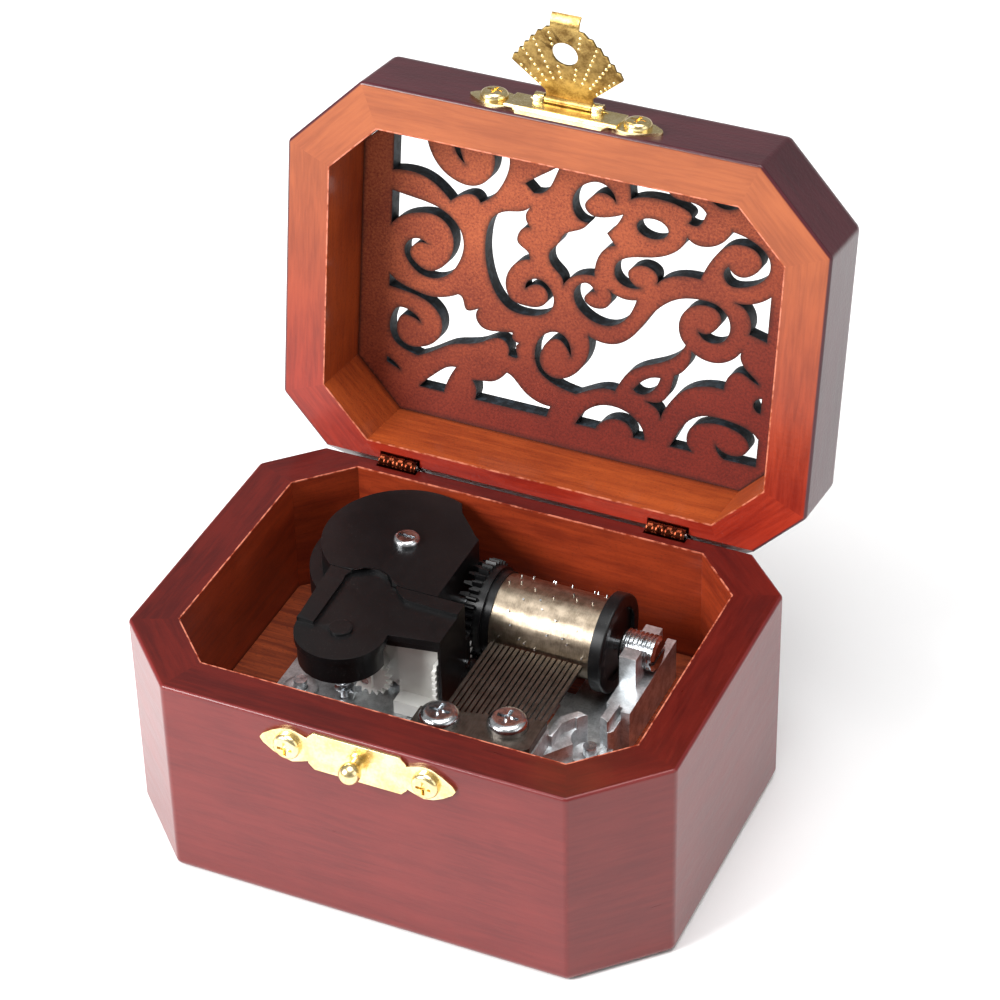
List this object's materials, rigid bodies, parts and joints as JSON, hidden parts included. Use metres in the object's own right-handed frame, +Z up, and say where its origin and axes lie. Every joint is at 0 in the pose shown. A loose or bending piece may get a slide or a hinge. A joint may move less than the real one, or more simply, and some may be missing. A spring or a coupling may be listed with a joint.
{
  "type": "wind up music box",
  "caption": "Small octagonal wooden music box with a hinged fretwork lid, brass hasp and a spring driven comb and pin cylinder movement wound by a key under the floor.",
  "frame": {"origin": "bottom centre of the bounding box of the whole object with its lid open; the case stands on this plane, its own middle is 7.5 mm in front of the origin", "axes": "+Z up, the front of the case with the strike plate faces -Y, +X to the right of someone facing the front"},
  "size_m": [0.084, 0.0872, 0.1083],
  "materials": {
    "stained_wood": "dark red lacquer over wood",
    "fret_wood": "matt brown, scorched cut edges",
    "board_wood": "thin stained board",
    "brass_plate": "bright pressed brass",
    "hinge_bronze": "brass dulled by lacquer",
    "screw_steel": "bright plated",
    "zinc_casting": "dull grey die casting",
    "comb_steel": "dark hardened steel",
    "nickel_tube": "brushed, nickel plated",
    "black_plastic": "black, half gloss",
    "white_nylon": "white nylon",
    "spring_steel": "spring steel"
  },
  "bodies": {
    "case": {"case_front_wall": "stained_wood", "case_right_wall": "stained_wood", "case_back_wall": "stained_wood", "case_left_wall": "stained_wood", "case_corner_walls": "stained_wood", "floor_board": "board_wood", "hinge_case_leaves": "hinge_bronze", "hinge_pins": "hinge_bronze", "hinge_case_nails": "hinge_bronze", "strike_plate": "brass_plate", "strike_screws": "brass_plate", "strike_knob": "brass_plate", "base_frame": "zinc_casting", "movement_screws": "screw_steel", "comb": "comb_steel", "comb_screws": "screw_steel", "bearing_screw": "screw_steel", "spring_cover": "black_plastic", "spring_cover_screw": "screw_steel", "governor_cover": "black_plastic", "governor_frame": "white_nylon"},
    "lid": {"lid_front_rail": "stained_wood", "lid_right_rail": "stained_wood", "lid_back_rail": "stained_wood", "lid_left_rail": "stained_wood", "lid_corner_rails": "stained_wood", "fret_panel": "fret_wood", "hinge_lid_leaves": "hinge_bronze", "hinge_lid_nails": "hinge_bronze", "hasp_plate": "brass_plate", "hasp_pin": "brass_plate", "hasp_screws": "brass_plate"},
    "hasp": {"hasp_flap": "brass_plate"},
    "barrel": {"barrel_gear": "black_plastic", "spring_barrel": "spring_steel", "barrel_lid": "spring_steel", "mainspring": "spring_steel"},
    "winder": {"winding_arbor": "spring_steel", "winding_key": "brass_plate"},
    "cylinder": {"cylinder_gear": "black_plastic", "cylinder_tube": "nickel_tube", "cylinder_end_cap": "black_plastic", "cylinder_axle": "spring_steel", "cylinder_pins": "nickel_tube"},
    "transfer": {"transfer_wheel": "white_nylon", "transfer_arbor": "spring_steel"},
    "cross": {"worm_wheel": "white_nylon", "worm_wheel_arbor": "spring_steel"},
    "governor": {"governor_worm": "spring_steel", "governor_fly": "black_plastic"}
  },
  "joints": [
    {"name": "lid_hinge", "type": "hinge", "parent": "case", "child": "lid", "pos_m": [0, 0.02041, 0.034], "axis": [1, 0, 0], "range_deg": [0, 99]},
    {"name": "hasp_hinge", "type": "hinge", "parent": "lid", "child": "hasp", "pos_m": [0, 0.03452, 0.09368], "axis": [1, 0, 0], "range_deg": [-95, 73]},
    {"name": "barrel_spin", "type": "hinge", "parent": "case", "child": "barrel", "pos_m": [-0.0136, 0.00477, 0.02], "axis": [0, 0, 1], "continuous": true},
    {"name": "key_turn", "type": "hinge", "parent": "case", "child": "winder", "pos_m": [-0.0136, 0.00477, 0.005], "axis": [0, 0, 1], "continuous": true},
    {"name": "cylinder_spin", "type": "hinge", "parent": "case", "child": "cylinder", "pos_m": [0.01, 0.00477, 0.0242], "axis": [1, 0, 0], "continuous": true},
    {"name": "transfer_spin", "type": "hinge", "parent": "case", "child": "transfer", "pos_m": [-0.004, -0.00542, 0.0221], "axis": [1, 0, 0], "continuous": true},
    {"name": "cross_spin", "type": "hinge", "parent": "case", "child": "cross", "pos_m": [-0.0115, -0.01053, 0.0221], "axis": [0, 1, 0], "continuous": true},
    {"name": "governor_spin", "type": "hinge", "parent": "case", "child": "governor", "pos_m": [-0.0158, -0.01314, 0.022], "axis": [0, 0, 1], "continuous": true}
  ],
  "couplings": [
    {"joint": "cylinder_spin", "follows": "barrel_spin", "ratio": 1.6667},
    {"joint": "transfer_spin", "follows": "barrel_spin", "ratio": -3.75},
    {"joint": "cross_spin", "follows": "barrel_spin", "ratio": -2.5},
    {"joint": "governor_spin", "follows": "barrel_spin", "ratio": 45}
  ]
}
